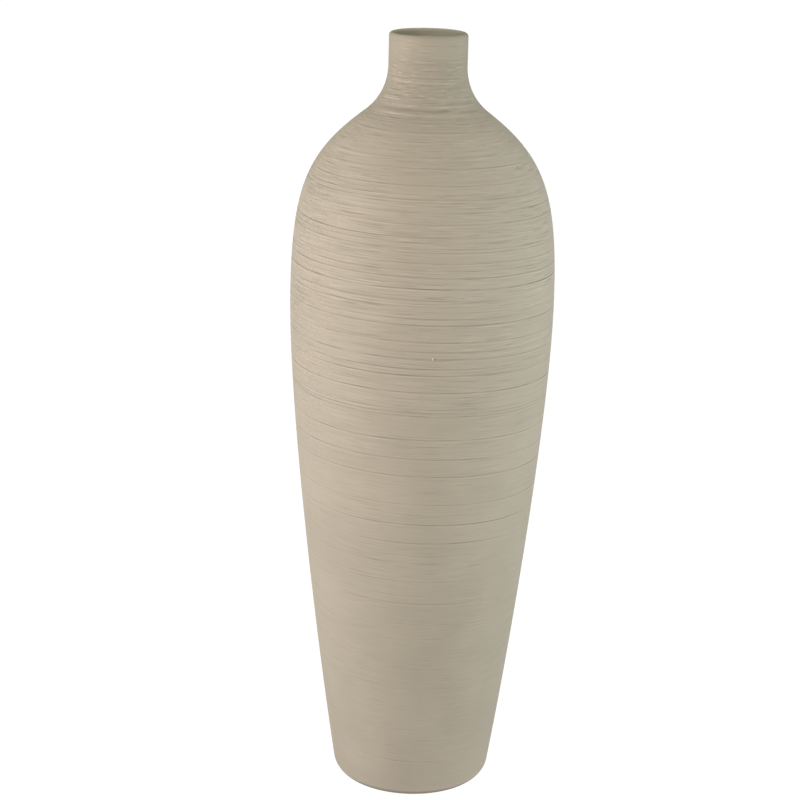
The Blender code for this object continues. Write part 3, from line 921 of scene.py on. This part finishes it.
def upper_body():
    """The belly and the shoulder, rebated for the tongue below and for the neck above."""
    socket = line.stretch(NECK_SEAM, NECK_SEAM - NECK_SEAM_LAP, NECK_SEAM_STEP, 0.5, SLIP_GAP / 2)
    top, bottom = NECK_SEAM - NECK_SEAM_LAP - SLIP_GAP, BODY_SEAM + BODY_SEAM_LAP
    inside = line.stretch(top, bottom, INSIDE_STEP, 1.0)
    rebate = line.stretch(bottom, BODY_SEAM, BODY_SEAM_STEP, 0.5, -SLIP_GAP / 2)
    start = line.at(np.array([BODY_SEAM]))
    after = [socket, inside, rebate, start]
    turn_section("upper_body_clay", BODY_SEAM, NECK_SEAM, [], after, clay, "upper_body")


def neck():
    """The flare, the straight neck and the rounded lip, with the bore and the neck's spigot."""
    turn = np.linspace(math.pi / 2, math.pi, 7)[1:, None]
    crest = np.array((NECK_RADIUS - LIP_OUTER_ROUNDING, OVERALL_HEIGHT - LIP_OUTER_ROUNDING))
    rounding = (LIP_INNER_ROUNDING * np.cos(turn), LIP_OUTER_ROUNDING * np.sin(turn))
    inner_lip = crest + np.hstack(rounding)
    bottom = NECK_SEAM - NECK_SEAM_LAP
    bore = line.stretch(line.neck_top - 0.002, bottom, BORE_STEP, 1.0)
    spigot = line.stretch(bottom, NECK_SEAM, NECK_SEAM_STEP, 0.5, SLIP_GAP)
    start = line.at(np.array([NECK_SEAM]))
    after = [inner_lip, bore, spigot, start]
    turn_section("neck_clay", NECK_SEAM, line.crest, [], after, clay, "neck")


def inner_glaze():
    """The coat of glaze, with the soft rings that the thrower's fingers left under it."""
    stop = line.neck_top - GLAZE_STOP_BELOW_LIP
    against_clay = line.stretch(0.0020, stop, GLAZE_BACK_STEP, 1.0, GLAZE_GAP)
    edge = line.at(np.array([stop + 0.0002]), 1.0, GLAZE_GAP + GLAZE_THICKNESS / 2)
    places = np.linspace(stop, 0.0020, round((stop - 0.0020) / GLAZE_FACE_STEP))
    ripple = FINGER_RING_HEIGHT * np.sin(places * FULL_TURN / FINGER_RING_STEP)
    ripple = ripple * np.clip((stop - places) / 0.01, 0.0, 1.0)
    open_face = line.at(places, 1.0, GLAZE_GAP + GLAZE_THICKNESS + np.maximum(ripple, -0.0001))
    outline = np.vstack((against_clay, edge, open_face))
    piece = turn_piece("inner_glaze_coat", outline, closed_at_start=True, closed_at_end=True)
    finish_piece(piece, glaze, "inner_glaze", 60.0)


def felt_disc():
    """One die-cut disc of felt in the middle of the base, its edge soft and a little uneven."""
    bpy.ops.mesh.primitive_cylinder_add(
        vertices=48, radius=PAD_RADIUS, depth=PAD_THICKNESS, location=(0.0, 0.0, PAD_THICKNESS / 2)
    )
    disc = bpy.context.object
    bpy.ops.object.transform_apply(location=True, rotation=True, scale=True)
    bpy.ops.object.mode_set(mode="EDIT")
    bpy.ops.mesh.select_mode(type="FACE")
    bpy.ops.mesh.select_all(action="DESELECT")
    wool = bmesh.from_edit_mesh(disc.data)
    for face in wool.faces:
        face.select = abs(face.normal.z) > 0.9
    bmesh.update_edit_mesh(disc.data)
    for thickness in FELT_INSETS:
        bpy.ops.mesh.inset(thickness=thickness)
    bpy.ops.mesh.select_mode(type="EDGE")
    wool = bmesh.from_edit_mesh(disc.data)
    for edge in wool.edges:
        a, b = edge.verts
        rim = min(math.hypot(*a.co.xy), math.hypot(*b.co.xy)) > PAD_RADIUS - 0.0001
        edge.select = rim and abs(a.co.z - b.co.z) < SAME_HEIGHT
    bmesh.update_edit_mesh(disc.data)
    bpy.ops.mesh.bevel(offset=FELT_SOFT_EDGE, segments=2, affect="EDGES")
    bpy.ops.object.mode_set(mode="OBJECT")
    rng = np.random.default_rng(FELT_SEED)
    for vertex in disc.data.vertices:
        if 0.0001 < vertex.co.z < PAD_THICKNESS - 0.0001:
            push = 1.0 + rng.uniform(-0.006, 0.0)
            vertex.co.x *= push
            vertex.co.y *= push
    return disc


def felt_discs():
    """The disc is copied for each quarter of the base, and each copy is set in its place."""
    first = felt_disc()
    discs = [first] + [first.copy() for _ in range(PAD_COUNT - 1)]
    for index, disc in enumerate(discs):
        if index:
            disc.data = first.data.copy()
            bpy.context.scene.collection.objects.link(disc)
        disc.name = disc.data.name = f"felt_disc_{index + 1}"
    for index, disc in enumerate(discs):
        turn = FULL_TURN * (index + 0.5) / PAD_COUNT
        x, y = PAD_CIRCLE_RADIUS * math.cos(turn), PAD_CIRCLE_RADIUS * math.sin(turn)
        disc.rotation_euler.z = turn
        disc.location = (x, y, 0.0)
        bpy.ops.object.select_all(action="DESELECT")
        disc.select_set(True)
        bpy.context.view_layer.objects.active = disc
        bpy.ops.object.transform_apply(location=True, rotation=True, scale=True)
        finish_piece(disc, felt, f"felt_pad_{index + 1}", 50.0)


lower_body()
upper_body()
neck()
inner_glaze()
felt_discs()


# -------- floor, light and camera

FLOOR_SIZE = 60.0
WALL_RADIUS, WALL_HEIGHT = 25.0, 16.0
# Soft boxes of 50 by 40 cm, 90 cm from the vase's middle line: angle round it from the front,
# height, how far the light is tipped down, its power and its colour.
SOFT_BOX_SIZE = (0.5, 0.4)
SOFT_BOX_DISTANCE = 0.9
SOFT_BOXES = {
    "soft_box_left": (-76.0, 0.42, 0.0, 3.45, (1.04, 1.00, 1.03)),
    "soft_box_right": (80.0, 0.42, 0.0, 2.55, (0.83, 1.00, 1.09)),
    "soft_box_high_front": (0.0, 0.9, 30.0, 1.6, (1.08, 1.00, 0.79)),
    "soft_box_high_right": (80.0, 0.9, 30.0, 1.3, (0.88, 1.00, 1.13)),
    "soft_box_high_left": (-53.0, 0.9, 30.0, 2.2, (1.01, 1.00, 1.10)),
}
# The camera: its place, and in degrees how far it looks to the left, down and tipped.
CAMERA_PLACE = (0.0, -1.7138, 0.7998)
LOOKS_LEFT, LOOKS_DOWN, TIPPED = 0.507, 15.84, 1.335
LENS, SENSOR_WIDTH = 102.51, 36.0


def pale_floor_and_wall():
    """A pale floor, and far round it a pale wall that gives the vase no light and no shade."""
    material, _, shader, _ = new_finish("pale_studio", (0.10, 0.10, 0.10), 0.9, 0.0)
    shader.inputs["Emission Color"].default_value = (1.0, 1.0, 1.0, 1.0)
    shader.inputs["Emission Strength"].default_value = 0.98
    bpy.ops.mesh.primitive_plane_add(size=FLOOR_SIZE, location=(0.0, 0.0, 0.0))
    floor = bpy.context.object
    floor.name = "pale_floor"
    bpy.ops.mesh.primitive_cylinder_add(
        vertices=96, radius=WALL_RADIUS, depth=WALL_HEIGHT, end_fill_type="NOTHING",
        location=(0.0, 0.0, WALL_HEIGHT / 2),
    )
    wall = bpy.context.object
    wall.name = "pale_wall"
    wall.visible_diffuse = wall.visible_glossy = False
    wall.visible_transmission = wall.visible_shadow = False
    for piece in (floor, wall):
        piece.data.materials.append(material)


def soft_box(name, angle, height, tip, power, colour):
    """A soft light at an angle round the vase from the front."""
    data = bpy.data.lights.new(name, "AREA")
    data.shape = "RECTANGLE"
    data.size, data.size_y = SOFT_BOX_SIZE
    data.energy = power
    data.color = colour
    lamp = bpy.data.objects.new(name, data)
    bpy.context.scene.collection.objects.link(lamp)
    lamp.matrix_world = (
        Matrix.Rotation(math.radians(angle), 4, "Z")
        @ Matrix.Translation((0.0, -SOFT_BOX_DISTANCE, height))
        @ Matrix.Rotation(math.radians(90.0 - tip), 4, "X")
    )
    lamp.visible_camera = False


def studio():
    """Soft light from overhead, from both sides and from high in front, with the pale floor's."""
    world = bpy.data.worlds.new("studio")
    bpy.context.scene.world = world
    world.use_nodes = True
    tree = world.node_tree
    around_us = tree.nodes.new("ShaderNodeTexCoord").outputs["Generated"]
    up = add_node(tree, "ShaderNodeSeparateXYZ", {0: around_us}).outputs["Z"]
    overhead = spread_out(tree, up, 0.76, 0.84)
    colour = mixed(tree, overhead, (0.02, 0.02, 0.02), (1.26, 1.26, 1.18))
    tree.links.new(colour, tree.nodes["Background"].inputs["Color"])
    for name, how in SOFT_BOXES.items():
        soft_box(name, *how)


def photo_camera():
    """The photograph's view: a long lens, a little above the vase, tipped a degree or so."""
    data = bpy.data.cameras.new("camera")
    data.sensor_width = SENSOR_WIDTH
    data.lens = LENS
    data.clip_start, data.clip_end = 0.05, 100.0
    camera = bpy.data.objects.new("camera", data)
    bpy.context.scene.collection.objects.link(camera)
    camera.matrix_world = (
        Matrix.Translation(CAMERA_PLACE)
        @ Matrix.Rotation(math.radians(LOOKS_LEFT), 4, "Z")
        @ Matrix.Rotation(math.radians(90.0 - LOOKS_DOWN), 4, "X")
        @ Matrix.Rotation(math.radians(TIPPED), 4, "Z")
    )
    bpy.context.scene.camera = camera


pale_floor_and_wall()
studio()
photo_camera()
bpy.context.scene.view_settings.view_transform = "Standard"
